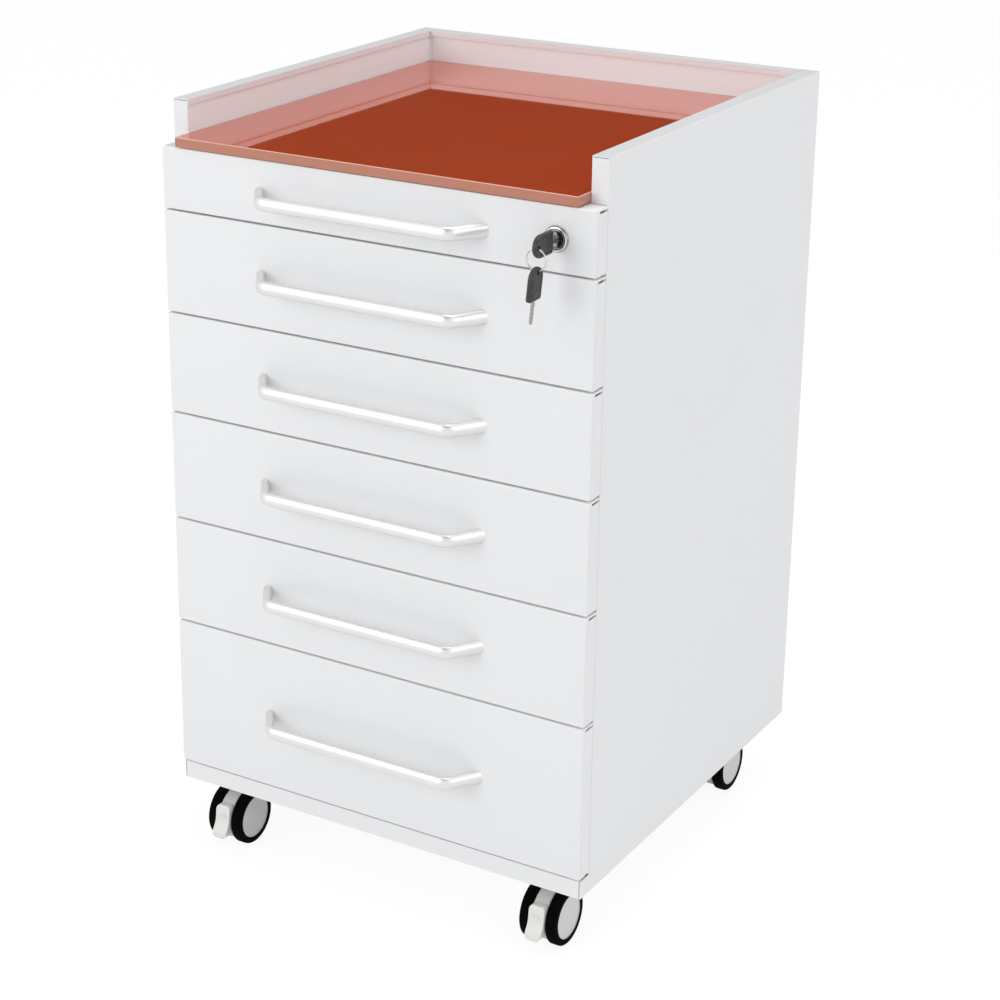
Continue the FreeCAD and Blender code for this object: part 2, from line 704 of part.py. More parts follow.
def pedal():
    """Brake pedal: a moulded lever hugging the hood, on an arm with its boss and pin."""
    inner = hood_radius + pedal_inner_gap
    top = pedal_face[0][1]
    inner_top = (math.sqrt(inner ** 2 - top ** 2), top)
    heel_reach = math.hypot(*pedal_heel)
    inner_low = tuple(value * inner / heel_reach for value in pedal_heel)
    inner_middle = (inner, 0)
    face = Part.BSplineCurve()
    face.interpolate([from_axle(*point, -pedal_half) for point in pedal_face])
    place = lambda point: from_axle(*point, -pedal_half)
    side = [face.toShape(),
            Part.Arc(place(pedal_face[-1]), place(pedal_toe[0]), place(pedal_toe[1])).toShape(),
            Part.makeLine(place(pedal_toe[1]), place(pedal_heel)),
            Part.makeLine(place(pedal_heel), place(inner_low)),
            Part.Arc(place(inner_low), place(inner_middle), place(inner_top)).toShape(),
            Part.makeLine(place(inner_top), place(pedal_face[0]))]
    paddle = Part.Face(Part.Wire(side)).extrude(FreeCAD.Vector(2 * pedal_half, 0, 0))
    box = paddle.BoundBox
    window = block(-pedal_half, pedal_half, box.YMin - through, box.YMax + through, box.ZMin, box.ZMax)
    for corner, z in ((pedal_top_corner, box.ZMax), (pedal_toe_corner, box.ZMin)):
        window = window.makeFillet(corner, edges_where(window, lambda edge: along(edge, "y")
                                                       and near(edge.BoundBox.Center.z, z)))
    arm = arm_bar(pedal_arm_half_width, pedal_arm_half, 0)
    return joined([paddle.common(window), arm, across_pivot(pedal_boss_radius, pedal_arm_half_width),
                   across_pivot(pedal_pin_radius, hood_half)])


def about_axle(points):
    """Solid of revolution about the axle from distance-along-x and radius pairs."""
    placed = [(x, -castor_trail, wheel_radius + radius) for x, radius in points]
    return turned(placed, (0, -castor_trail, wheel_radius), (1, 0, 0))


def tyre():
    inside, outside = wheel_inner, wheel_inner + wheel_width
    edge = tyre_edge
    return about_axle([(inside, hub_radius), (inside, wheel_radius - edge), (inside + edge, wheel_radius),
                       (outside - edge, wheel_radius), (outside, wheel_radius - edge),
                       (outside, hub_radius)])


def hub():
    """Cup-shaped hub: domed outer face, rim under the tyre and a boss on the axle."""
    inside, outside = wheel_inner, wheel_inner + wheel_width
    bore = axle_radius + axle_fit
    floor = outside - hub_pocket_floor
    face = outside - hub_dome
    cup = about_axle([(inside, bore), (inside, hub_boss_radius), (floor, hub_boss_radius),
                      (floor, hub_radius - hub_rim), (inside, hub_radius - hub_rim),
                      (inside, hub_radius), (face, hub_radius), (face, 0), (axle_half + race_gap, 0),
                      (axle_half + race_gap, bore)])
    dome_radius = (hub_radius ** 2 + hub_dome ** 2) / (2 * hub_dome)
    centre_x = outside - dome_radius
    ball = Part.makeSphere(dome_radius, FreeCAD.Vector(centre_x, -castor_trail, wheel_radius))
    slab = rod(hub_radius, (face, -castor_trail, wheel_radius), (outside, -castor_trail, wheel_radius))
    return joined([cup, slab.common(ball)])


def placed(shape, x, y):
    """Copy of a castor piece moved to its swivel axis."""
    copy = shape.copy()
    copy.translate(FreeCAD.Vector(x, y, 0))
    return copy


# ---- the assembly --------------------------------------------------------------------
os.makedirs("parts", exist_ok=True)

right_panel = side_panel()
right_liner = side_liner()
save("side_panel_right", right_panel)
save("side_panel_left", mirrored(right_panel))
save("side_liner_right", right_liner)
save("side_liner_left", mirrored(right_liner))
save("back_panel", back_panel())
save("top_deck", top_deck())
save("strike_rail", strike_rail())
save("glass_top", glass_top())
castor_rows = {"front": face_y + castor_end, "rear": rear_y - castor_end}
save("base_tray", base_tray(), *[bearer(y) for y in castor_rows.values()])

outer_members = []
top_z = front_top_z
for number, front_height in enumerate(front_heights, 1):
    bottom_z = top_z - front_height
    name = "drawer_%d_" % number
    centre_z = (top_z + bottom_z) / 2
    box_z = bottom_z + box_above_bottom
    front = drawer_front(bottom_z, front_height)
    box = drawer_box(box_z, front_height - box_below_top - box_above_bottom)
    if number == 1:
        hole = rod(barrel_radius, (lock_x, face_y - 1, lock_z), (lock_x, face_y + front_depth / 2, lock_z))
        front = front.cut(hole)
        clear = rod(barrel_radius + barrel_hole_gap, (lock_x, back_of_front_y - 1, lock_z),
                    (lock_x, back_of_front_y + 2 * box_sheet, lock_z))
        box = box.cut(clear)
    save(name + "front", front)
    save(name + "box", box)
    save(name + "handle", handle(centre_z))
    runner_z = box_z + runner_lift
    middle = middle_member(runner_z)
    inner = inner_member(runner_z)
    save(name + "runner_middle", middle, mirrored(middle))
    save(name + "runner_inner", inner, mirrored(inner))
    outer = outer_member(runner_z)
    outer_members += [outer, mirrored(outer)]
    top_z = bottom_z - front_gap
save("runner_outer_members", *outer_members)

save("lock_barrel", lock_barrel(), lock_nut())
save("lock_plug", lock_plug())
save("lock_cam", lock_cam(), cam_screw())
save("key", *inserted_key())
save("key_ring", key_ring())

plate_piece = castor_plate_piece()
plain_hood, slotted_hood = castor_hood(), braked_hood()
right_wheel = [tyre(), hub()]
left_wheel = [mirrored(piece) for piece in right_wheel]
plates = []
for row, y in castor_rows.items():
    for side, x in (("left", castor_side - half_width), ("right", half_width - castor_side)):
        name = "castor_%s_%s_" % (row, side)
        plates.append(placed(plate_piece, x, y))
        hood = slotted_hood if row == "front" else plain_hood
        save(name + "hood", placed(hood, x, y), placed(castor_axle(), x, y))
        save(name + "wheel_left", *[placed(piece, x, y) for piece in left_wheel])
        save(name + "wheel_right", *[placed(piece, x, y) for piece in right_wheel])
        if row == "front":
            save(name + "pedal", placed(pedal(), x, y))
save("castor_plates", *plates)
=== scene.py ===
import json
import math
import bmesh
import bpy
import numpy as np
from mathutils import Matrix, Vector


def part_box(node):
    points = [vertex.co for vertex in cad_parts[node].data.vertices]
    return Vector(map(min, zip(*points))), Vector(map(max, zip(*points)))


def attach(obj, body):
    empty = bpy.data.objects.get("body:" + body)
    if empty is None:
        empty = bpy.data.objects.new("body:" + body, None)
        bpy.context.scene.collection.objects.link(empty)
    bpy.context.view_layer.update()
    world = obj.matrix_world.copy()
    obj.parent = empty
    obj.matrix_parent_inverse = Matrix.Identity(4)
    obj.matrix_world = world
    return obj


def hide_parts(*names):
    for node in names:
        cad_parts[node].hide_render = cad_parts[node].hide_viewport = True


# Mobile drawer cabinet: powder-coated steel, back-painted glass top, bow handles,
# cam lock with two keys, twin-wheel castors. Sizes of the pieces are in millimetres.

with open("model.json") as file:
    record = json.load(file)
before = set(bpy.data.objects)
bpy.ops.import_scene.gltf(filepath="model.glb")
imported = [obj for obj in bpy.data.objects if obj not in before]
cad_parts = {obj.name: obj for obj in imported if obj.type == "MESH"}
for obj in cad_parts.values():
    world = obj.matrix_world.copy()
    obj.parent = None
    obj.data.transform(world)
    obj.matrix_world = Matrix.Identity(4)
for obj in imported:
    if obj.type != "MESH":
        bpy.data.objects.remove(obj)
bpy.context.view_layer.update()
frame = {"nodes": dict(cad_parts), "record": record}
nodes = frame["nodes"]
print("frame loaded:", len(nodes), "nodes")

mm = 0.001
drawerCount = 6


def addObject(name, data):
    made = bpy.data.objects.new(name, data)
    bpy.context.scene.collection.objects.link(made)
    return made


# Shader nodes written as expressions: arithmetic on a Link adds Math nodes.
class Link:

    def __init__(self, shader, socket):
        self.shader, self.socket = shader, socket

    def combine(self, operation, first, second):
        inputs = {0: first, 1: second}
        return self.shader.node("ShaderNodeMath", {"operation": operation}, inputs)

    def __add__(self, other):
        return self.combine("ADD", self, other)

    def __radd__(self, other):
        return self.combine("ADD", other, self)

    def __sub__(self, other):
        return self.combine("SUBTRACT", self, other)

    def __mul__(self, other):
        return self.combine("MULTIPLY", self, other)

    def between(self, low, high):
        # 0 below low, 1 above high, smooth in between
        settings = {"interpolation_type": "SMOOTHSTEP"}
        return self.shader.node("ShaderNodeMapRange", settings, {0: self, 1: low, 2: high})

    def larger(self, other):
        return self.combine("MAXIMUM", self, other)


class Shader:

    def __init__(self, owner):
        owner.use_nodes = True
        self.tree = owner.node_tree
        self.tree.nodes.clear()

    def node(self, kind, settings=None, inputs=None, output=0):
        made = self.tree.nodes.new(kind)
        for key, value in (settings or {}).items():
            if key == "stops":
                fillRamp(made.color_ramp, value)
            else:
                setattr(made, key, value)
        for key, value in (inputs or {}).items():
            if isinstance(value, Link):
                self.tree.links.new(value.socket, made.inputs[key])
            else:
                made.inputs[key].default_value = value
        return Link(self, made.outputs[output]) if made.outputs else None

    def place(self):
        return self.node("ShaderNodeTexCoord", output="Object")

    def axis(self, letter):
        return self.node("ShaderNodeSeparateXYZ", inputs={0: self.place()}, output=letter)

    def noise(self, scale, detail=3.0, rough=0.5, at=None):
        return self.node("ShaderNodeTexNoise", inputs={
            "Vector": at or self.place(), "Scale": scale, "Detail": detail, "Roughness": rough})

    def stretched(self, x, y, z):
        # Object coordinates scaled by axis, for brushing and drawing marks
        return self.node("ShaderNodeVectorMath", {"operation": "MULTIPLY"},
                         {0: self.place(), 1: (x, y, z)})

    def mixed(self, factor, first, second):
        return self.node("ShaderNodeMix", {"data_type": "RGBA"},
                         {0: factor, 6: first, 7: second}, output=2)

    def bump(self, height, strength, distance):
        return self.node("ShaderNodeBump", inputs={
            "Height": height, "Strength": strength, "Distance": distance * mm})

    def surface(self, **sockets):
        named = {key.replace("_", " "): value for key, value in sockets.items()}
        shader = self.node("ShaderNodeBsdfPrincipled", inputs=named)
        return self.node("ShaderNodeOutputMaterial", inputs={"Surface": shader})


def fillRamp(ramp, stops):
    while len(ramp.elements) < len(stops):
        ramp.elements.new(0.5)
    for element, (position, colour) in zip(ramp.elements, stops):
        element.position, element.color = position, colour


def newMaterial(name):
    material = bpy.data.materials.new(name)
    return material, Shader(material)


def grey(level):
    return (level, level, level, 1)


# ---- materials
enamelLook = {
    "outer": ((0.858, 0.872, 0.872, 1), (0.840, 0.854, 0.855, 1)),
    # tray: a lighter copy of the outer enamel for the top deck, painted light on its shaded
    # inner walls
    "tray": ((0.920, 0.960, 0.965, 1), (0.900, 0.940, 0.945, 1)),
    "roughness": 0.30, "glossDrift": 0.05, "glossScale": 40, "cloudScale": 5,
    "peelScale": 900, "peelHeight": 0.004, "peelStrength": 0.25}


def makeEnamel(name, tones):
    # Powder coat: faint orange peel, a cloudy drift of tone and gloss
    material, s = newMaterial(name)
    cloud = s.noise(enamelLook["cloudScale"], 2)
    peel = s.noise(enamelLook["peelScale"], 2, 0.4)
    colour = s.mixed(cloud, *tones)
    drift = s.noise(enamelLook["glossScale"], 3) - 0.5
    roughness = enamelLook["roughness"] + drift * enamelLook["glossDrift"]
    bump = s.bump(peel, enamelLook["peelStrength"], enamelLook["peelHeight"])
    s.surface(Base_Color=colour, Roughness=roughness, Specular_IOR_Level=0.5, Normal=bump)
    return material


glassLook = {
    "paint": (0.500, 0.058, 0.010, 1), "edge": (0.50, 0.195, 0.118, 1),
    "arris": (0.78, 0.52, 0.42, 1), "arrisBand": 0.9, "arrisEnd": 0.3, "faceDepth": 0.05,
    "paintDrift": 0.12, "paintScale": 9, "roughness": 0.04,
    "groundRoughness": 0.16, "groundGrain": 0.08, "groundScale": 1400,
    "groundStretch": (0.1, 1, 1)}


def makeGlass(topZ):
    # Back-painted glass: deep paint through the top face, paler through the ground edge,
    # palest at the arris under the top
    look = glassLook
    material, s = newMaterial("redGlass")
    height = s.axis("Z")
    drift = s.noise(look["paintScale"], 2)
    deep = s.mixed(drift * look["paintDrift"], look["paint"], look["edge"])
    lowered = s.node("ShaderNodeMath", {"operation": "LESS_THAN"},
                     {0: height, 1: topZ - look["faceDepth"] * mm})
    arris = height.between(topZ - look["arrisBand"] * mm, topZ - look["arrisEnd"] * mm)
    ground = s.noise(look["groundScale"], 2, at=s.stretched(*look["groundStretch"]))
    edge = s.mixed(arris, look["edge"], look["arris"])
    colour = s.mixed(lowered, deep, edge)
    grain = look["groundRoughness"] + ground * look["groundGrain"]
    s.surface(Base_Color=colour, Roughness=look["roughness"] + lowered * grain, IOR=1.5,
              Coat_Weight=0.3, Coat_Roughness=0.02)
    return material


metalLook = {
    "shadeShare": 0.86, "cloudScale": 30, "cloudShare": 0.6, "markShare": 0.2,
    "markGloss": 0.10, "markStrength": 0.3}
# stretch: how much finer the marks are along x, y and z, so they run along the smallest
metals = {
    "zincSteel": {"colour": (0.62, 0.63, 0.65, 1), "roughness": 0.34, "stretch": (12, 1, 12),
                  "markScale": 60, "markDepth": 0.003},
    "satinHandle": {"colour": (0.82, 0.82, 0.82, 1), "roughness": 0.39,
                    "stretch": (1, 14, 14), "markScale": 90, "markDepth": 0.001},
    "satinNickel": {"colour": (0.66, 0.65, 0.63, 1), "roughness": 0.24, "stretch": (5, 1, 5),
                    "markScale": 120, "markDepth": 0.002},
    "bladeSteel": {"colour": (0.42, 0.42, 0.42, 1), "roughness": 0.30, "stretch": (6, 6, 1),
                   "markScale": 120, "markDepth": 0.003}}


def makeMetal(name):
    # Bare or plated metal with fine marks drawn along one axis
    look, kind = metalLook, metals[name]
    material, s = newMaterial(name)
    marks = s.noise(kind["markScale"], 4, 0.6, at=s.stretched(*kind["stretch"]))
    cloud = s.noise(look["cloudScale"], 2)
    darker = tuple(look["shadeShare"] * value for value in kind["colour"][:3]) + (1,)
    share = cloud * look["cloudShare"] + marks * look["markShare"]
    s.surface(Base_Color=s.mixed(share, kind["colour"], darker), Metallic=1.0,
              Roughness=kind["roughness"] + (marks - 0.5) * look["markGloss"],
              Normal=s.bump(marks, look["markStrength"], kind["markDepth"]))
    return material


plasticLook = {"driftScale": 60, "grainGloss": 0.12, "grainStrength": 0.4}
plastics = {
    "keyPlastic": {"tones": ((0.022, 0.022, 0.025, 1), (0.030, 0.030, 0.033, 1)),
                   "roughness": 0.40, "specular": 0.5, "grainScale": 2600, "grainDepth": 0.01},
    "tyreRubber": {"tones": ((0.0012, 0.0012, 0.0013, 1), (0.0020, 0.0020, 0.0021, 1)),
                   "roughness": 0.85, "specular": 0.04, "grainScale": 1500, "grainDepth": 0.02},
    "hubPlastic": {"tones": ((0.72, 0.725, 0.715, 1), (0.69, 0.695, 0.685, 1)),
                   "roughness": 0.42, "specular": 0.5, "grainScale": 1800, "grainDepth": 0.006},
    "hoodPlastic": {"tones": ((0.66, 0.665, 0.64, 1), (0.63, 0.635, 0.61, 1)),
                    "roughness": 0.45, "specular": 0.5, "grainScale": 1800, "grainDepth": 0.006},
    "pedalPlastic": {"tones": ((0.80, 0.805, 0.765, 1), (0.77, 0.775, 0.735, 1)),
                     "roughness": 0.45, "specular": 0.5, "grainScale": 1800,
                     "grainDepth": 0.006}}


def makePlastic(name):
    # Moulded plastic or rubber: fine spark-eroded grain and a slight drift of tone
    look, kind = plasticLook, plastics[name]
    material, s = newMaterial(name)
    grain = s.noise(kind["grainScale"], 2, 0.5)
    drift = s.noise(look["driftScale"], 3)
    s.surface(Base_Color=s.mixed(drift, *kind["tones"]),
              Roughness=kind["roughness"] + (grain - 0.5) * look["grainGloss"],
              Specular_IOR_Level=kind["specular"],
              Normal=s.bump(grain, look["grainStrength"], kind["grainDepth"]))
    return material


glassLow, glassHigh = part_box("glass_top")
enamel = makeEnamel("whiteEnamel", enamelLook["outer"])
# lighter enamel copy for the top deck: painted light on its shaded inner walls
deckEnamelPaintedLight = makeEnamel("deckEnamelPaintedLight", enamelLook["tray"])
redGlass = makeGlass(glassHigh.z)
zinc, satin, nickel, bladeSteel = (makeMetal(name) for name in metals)
keyPlastic, tyreRubber, hubPlastic, hoodPlastic, pedalPlastic = (
    makePlastic(name) for name in plastics)

slotMaterials = {
    "white_enamel": enamel, "zinc_steel": zinc, "red_glass": redGlass, "satin_handle": satin,
    "nickel": nickel, "black_key": keyPlastic, "hood_grey": hoodPlastic,
    "castor_wheel": tyreRubber, "pedal_cream": pedalPlastic}
for part in frame["record"]["subparts"]:
    node = nodes[part["node"]]
    node.data.materials.clear()
    node.data.materials.append(slotMaterials[part["material_slot"]])
# the top deck gets the lighter enamel copy, painted light on its inner walls
nodes["top_deck"].data.materials[0] = deckEnamelPaintedLight
print("materials made:", len(slotMaterials))


# ---- mesh tools: every new piece is one or more grids of points, in millimetres
weldDistance = 0.001


def gridFaces(rows, columns, wrapRows, wrapColumns, first):
    # Quads between each point, its neighbour in the row and the two in the next row
    row = np.arange(rows if wrapRows else rows - 1)[:, None]
    column = np.arange(columns if wrapColumns else columns - 1)[None, :]
    nextRow, nextColumn = (row + 1) % rows, (column + 1) % columns
    corners = [row * columns + column, row * columns + nextColumn,
               nextRow * columns + nextColumn, nextRow * columns + column]
    return (first + np.stack(corners, -1)).reshape(-1, 4).tolist()


def addPiece(name, grids, body, material, replaces=(), sharpAbove=30):
    # grids: (points, wrapRows, wrapColumns, capped); a cap closes the first and last row
    # sharpAbove: edges that turn by more degrees than this are drawn sharp
    vertices, faces = [], []
    first = 0
    for points, wrapRows, wrapColumns, capped in grids:
        rows, columns = points.shape[:2]
        vertices.append(points.reshape(-1, 3))
        faces += gridFaces(rows, columns, wrapRows, wrapColumns, first)
        if capped:
            faces.append(list(range(first, first + columns)))
            last = first + (rows - 1) * columns
            faces.append(list(range(last, last + columns)))
        first += rows * columns
    mesh = bpy.data.meshes.new(name)
    mesh.from_pydata((np.concatenate(vertices) * mm).tolist(), [], faces)
    tidy = bmesh.new()
    tidy.from_mesh(mesh)
    bmesh.ops.remove_doubles(tidy, verts=tidy.verts, dist=weldDistance * mm)
    bmesh.ops.recalc_face_normals(tidy, faces=tidy.faces)
    tidy.to_mesh(mesh)
    tidy.free()
    mesh.shade_smooth()
    mesh.set_sharp_from_angle(angle=math.radians(sharpAbove))
    mesh.materials.append(material)
    piece = addObject(name, mesh)
    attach(piece, body)
    if replaces:
        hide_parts(*replaces)
    return piece


def arcOutline(corners, steps):
    # Convex outline: centre + radius * (cos, sin) round each corner in turn, with its normals.
    # A corner is (x, y, radius, first angle, last angle).
    table = np.array(corners, float)
    angles = np.radians(np.linspace(table[:, 3], table[:, 4], steps).T.ravel())
    normals = np.stack([np.cos(angles), np.sin(angles)], 1)
    centres, radii = np.repeat(table[:, :2], steps, 0), np.repeat(table[:, 2], steps)
    return centres + radii[:, None] * normals, normals


def roundedBox(width, height, radius, steps=5):
    x, y = width / 2 - radius, height / 2 - radius
    return arcOutline([(x, y, radius, 0, 90), (-x, y, radius, 90, 180),
                       (-x, -y, radius, 180, 270), (x, -y, radius, 270, 360)], steps)


def slab(outline, levels):
    # Rows of an outline moved in along its normals: (inset, height) for each row
    points, normals = outline
    inset, height = np.array(levels, float).T
    flat = points[None] - inset[:, None, None] * normals[None]
    rise = np.broadcast_to(height[:, None, None], flat.shape[:2] + (1,))
    return np.concatenate([flat, rise], -1)


def placed(points, origin, xAxis, yAxis, zAxis):
    # Local x, y, z along the three given directions from origin
    return np.array(origin, float) + points @ np.array([xAxis, yAxis, zAxis], float)


def revolved(profile, origin, along, outward, steps):
    # Profile of (distance, radius) pairs turned about the axis "along" through origin:
    # origin + distance * along + radius * (cos a * outward + sin a * (along x outward))
    distance, radius = np.array(profile, float).T
    along, outward = np.array(along, float), np.array(outward, float)
    angle = np.linspace(0, 2 * math.pi, steps, endpoint=False)[:, None, None]
    spoke = np.cos(angle) * outward + np.sin(angle) * np.cross(along, outward)
    axial, radial = distance[None, :, None] * along, radius[None, :, None] * spoke
    return np.array(origin, float) + axial + radial


def centreOf(node):
    low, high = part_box(node)
    return (np.array(low) + np.array(high)) / 2 / mm


# ---- glass worktop
glassShape = {"arris": 0.8, "corner": 1.2, "cornerSteps": 6}


def makeGlassTop():
    # Slab with ground corners and an arris round both faces
    low, high = np.array(glassLow) / mm, np.array(glassHigh) / mm
    middle = (low + high) / 2
    arris = glassShape["arris"]
    outline = roundedBox(high[0] - low[0], high[1] - low[1], glassShape["corner"],
                         glassShape["cornerSteps"])
    levels = [(arris, low[2]), (0, low[2] + arris), (0, high[2] - arris), (arris, high[2])]
    points = slab(outline, levels) + [middle[0], middle[1], 0]
    addPiece("glassWorktop", [(points, False, True, True)], "carcass", redGlass,
             ["glass_top"], sharpAbove=20)


makeGlassTop()
print("glass made")


# ---- drawer fronts
# grow: how far a front goes past the CAD's at top and bottom, to the real gap; the first has
# topGrow instead at its top, and the last loses bottomTrim at its bottom
frontShape = {
    "sheet": 1.2, "bend": 1.3, "planSteps": 6, "edgeSteps": 5, "backReturn": 14,
    "grow": 0.5, "topGrow": 3.6, "bottomTrim": 1.0,
    "slotDrop": 2.0, "slotHeight": 2.2, "slotStart": 5.0, "skinTolerance": 0.02}


def frontSection(low, high, inset, sideCut, fill):
    # Plan of the folded pan at one height: outer wall with bent front corners, then the inner
    # wall. inset pulls the outer wall in for the bends at top and bottom, sideCut opens the
    # relief slots, and fill moves the inner wall back to close the plan for the flanges.
    s = frontShape
    bend = s["bend"]
    outline, normals = arcOutline([(high[0] - bend, low[1] + bend, bend, 0, -90),
                                   (low[0] + bend, low[1] + bend, bend, -90, -180)],
                                  s["planSteps"])
    side, back, slotY = high[0] - inset, high[1], low[1] + s["slotStart"]
    innerX, lip = high[0] - s["sheet"], high[0] - s["backReturn"]
    innerY, innerSlot, behind = (
        y + fill * (back - y) for y in (low[1] + s["sheet"], slotY, back - s["sheet"]))
    cutSide = side - sideCut
    right = [(cutSide, back), (cutSide, behind), (cutSide, slotY), (side, slotY)]
    inner = [(innerX, innerY), (innerX, innerSlot), (innerX, behind), (lip, behind), (lip, back)]
    opposite = [[(-x, y) for x, y in half[::-1]] for half in (right, inner)]
    return np.concatenate([right, outline - inset * normals, opposite[0], opposite[1], inner])


def openSlots(piece, wallX, startY, endY, bottom, top):
    # Where the two skins of the wall lie together there is no metal: those faces go
    tolerance = frontShape["skinTolerance"]
    pan = bmesh.new()
    pan.from_mesh(piece.data)
    doomed = []
    for face in pan.faces:
        x, y, z = face.calc_center_median() / mm
        onWall = abs(abs(x) - wallX) < tolerance
        if onWall and startY < y < endY and bottom < z < top:
            doomed.append(face)
    bmesh.ops.delete(pan, geom=doomed, context="FACES_ONLY")
    pan.to_mesh(piece.data)
    pan.free()


def drawerFront(number):
    # Rows go up: bent bottom edge, flange, open middle, relief slot, flange, bent top edge.
    # Two rows at one height make a flat step.
    s = frontShape
    name = "drawer_%d_front" % number
    low, high = (np.array(corner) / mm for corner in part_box(name))
    bottom = low[2] + (s["bottomTrim"] if number == drawerCount else -s["grow"])
    top = high[2] + (s["topGrow"] if number == 1 else s["grow"])
    slotTop = top - s["slotDrop"]
    slotBottom = slotTop - s["slotHeight"]
    turn = np.linspace(0, math.pi / 2, s["edgeSteps"])
    bendIn, bendUp = s["bend"] * (1 - np.sin(turn)), s["bend"] * (1 - np.cos(turn))
    levels = [(bottom + up, inset, 0, 1) for inset, up in zip(bendIn, bendUp)]
    levels += [(bottom + s["bend"], 0, 0, 0), (slotBottom, 0, 0, 0),
               (slotBottom, 0, s["sheet"], 0), (slotTop, 0, s["sheet"], 0),
               (slotTop, 0, 0, 0), (top - s["bend"], 0, 0, 0)]
    levels += [(top - up, inset, 0, 1) for inset, up in zip(bendIn[::-1], bendUp[::-1])]
    rows = []
    for height, inset, sideCut, fill in levels:
        plan = frontSection(low, high, inset, sideCut, fill)
        rows.append(np.concatenate([plan, np.full((len(plan), 1), height)], 1))
    piece = addPiece("foldedFront%d" % number, [(np.array(rows), False, True, True)],
                     "drawer_%d" % number, enamel, [name], sharpAbove=30)
    openSlots(piece, high[0] - s["sheet"], low[1] + s["slotStart"], high[1] - s["sheet"],
              slotBottom, slotTop)


for number in range(1, drawerCount + 1):
    drawerFront(number)
print("fronts made")


# ---- bow handles
handleShape = {
    "centres": 259, "halfHeight": 7.0, "halfDepth": 4.6, "footHeight": 8.1, "footDepth": 5.2,
    "projection": 31, "splay": 20.5, "bend": 14, "topDrop": 1.2,
    "around": 48, "legRows": 6, "bendRows": 18}


def bowHandle(number):
    # Upright oval carried along leg, bend and bar. The leg flares a little to its foot, which
    # the drawer face cuts 1 / cos(lean) wider. A bend row turns about the bend's centre.
    shape = handleShape
    low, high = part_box("drawer_%d_handle" % number)
    faceY, centreZ = high.y / mm, (low.z + high.z) / 2 / mm
    if number == 1:
        centreZ -= shape["topDrop"]
    lean = math.atan2(shape["splay"], shape["projection"])
    turn = math.pi / 2 - lean
    barY = faceY - shape["projection"]
    bendX = shape["centres"] / 2 - shape["splay"] - shape["bend"] * math.tan(turn / 2)
    across = np.linspace(0, 2 * math.pi, shape["around"], endpoint=False)
    depth, rise = shape["halfDepth"] * np.cos(across), shape["halfHeight"] * np.sin(across)
    angle = np.linspace(-lean, -math.pi / 2, shape["bendRows"])
    outward = np.stack([np.cos(angle), np.sin(angle)], 1)
    bendCentre = np.array([bendX, barY + shape["bend"]])
    bendPath = bendCentre + shape["bend"] * outward
    flat = bendPath[:, None] + depth[None, :, None] * outward[:, None]
    upright = np.broadcast_to(rise[None, :, None] + centreZ, flat.shape[:2] + (1,))
    bend = np.concatenate([flat, upright], -1)
    flareX = shape["footDepth"] / math.cos(lean) * np.cos(across)
    foot = np.stack([shape["centres"] / 2 + flareX, np.full(len(across), faceY),
                     centreZ + shape["footHeight"] * np.sin(across)], 1)
    share = np.linspace(0, 1, shape["legRows"])[:, None, None]
    leg = foot + share * (bend[0] - foot)
    half = np.concatenate([leg[:-1], bend])
    rows = np.concatenate([half, half[::-1] * [-1, 1, 1]])
    addPiece("bowHandle%d" % number, [(rows, False, True, True)], "drawer_%d" % number,
             satin, ["drawer_%d_handle" % number], sharpAbove=40)


for number in range(1, drawerCount + 1):
    bowHandle(number)
print("handles made")


# ---- lock
lockAxis = centreOf("lock_barrel")
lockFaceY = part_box("drawer_1_front")[0].y / mm
lockFront = (lockAxis[0], lockFaceY, lockAxis[2])
# barrel: its outline as (distance out of the drawer face, radius)
# tones: painted reflection rings and painted shade in the grooves, as grey at shares of
# toneRadius from the axis
lockShape = {
    "barrel": [(-22.4, 6.1), (-22.4, 9.0), (0, 9.0), (0, 12.2), (0.4, 12.7), (1.2, 12.8),
               (1.9, 12.5), (2.6, 11.7), (3.0, 10.9), (3.0, 10.3), (2.6, 9.9), (1.9, 9.7),
               (1.9, 9.2), (2.3, 8.9), (2.4, 8.6), (1.6, 8.45), (1.6, 6.1)],
    "steps": 72, "toneRadius": 14,
    "tones": [(0.0, grey(0.30)), (0.42, grey(0.34)), (0.58, grey(0.10)), (0.64, grey(0.42)),
              (0.70, grey(0.07)), (0.76, grey(0.60)), (0.84, grey(0.66)), (0.88, grey(0.12)),
              (0.92, grey(0.50))],
    "roughness": 0.16, "markGloss": 0.06, "markScale": 160, "markStrength": 0.2,
    "markDepth": 0.002}


def makeLockMetal():
    # Polished nickel with painted reflection rings and painted shade in the grooves: tone by
    # distance from the lock axis
    material, s = newMaterial("lockNickelPaintedRings")
    across = s.node("ShaderNodeVectorMath", {"operation": "SUBTRACT"},
                    {0: s.place(), 1: (lockAxis[0] * mm, 0, lockAxis[2] * mm)})
    perRadius = 1 / lockShape["toneRadius"] / mm
    flat = s.node("ShaderNodeVectorMath", {"operation": "MULTIPLY"},
                  {0: across, 1: (perRadius, 0, perRadius)})
    radius = s.node("ShaderNodeVectorMath", {"operation": "LENGTH"}, {0: flat}, output=1)
    # painted reflections and painted groove shade, ring by ring out from the lock axis
    tone = s.node("ShaderNodeValToRGB", {"stops": lockShape["tones"]}, {0: radius})
    marks = s.noise(lockShape["markScale"], 3)
    roughness = lockShape["roughness"] + marks * lockShape["markGloss"]
    s.surface(Base_Color=tone, Metallic=1.0, Roughness=roughness,
              Normal=s.bump(marks, lockShape["markStrength"], lockShape["markDepth"]))
    return material


